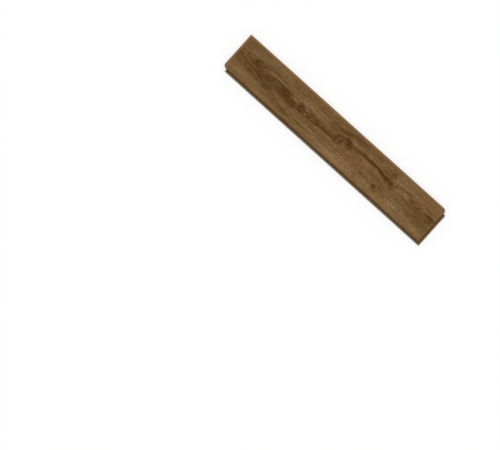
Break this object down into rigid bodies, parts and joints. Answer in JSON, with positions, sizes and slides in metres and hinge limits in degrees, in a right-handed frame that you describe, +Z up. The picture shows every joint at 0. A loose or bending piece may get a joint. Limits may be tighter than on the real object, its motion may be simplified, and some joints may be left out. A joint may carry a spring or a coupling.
{
  "type": "laminate floor plank",
  "caption": "Narrow laminate floor plank for a herringbone floor, printed as brown oak, with a click joint milled along its long edges and ends.",
  "frame": {"origin": "middle of the underside, midway between the joint lines, which are the upright planes where laid planks meet", "axes": "+X along the plank from its tongued end to its grooved end, +Y across it from its grooved long edge to its tongued long edge, +Z up out of the decor face; the plank lies flat on z = 0"},
  "size_m": [0.6113, 0.1033, 0.012],
  "materials": {
    "laminate": "matte"
  },
  "bodies": {
    "root": {"plank": "laminate"}
  },
  "joints": []
}
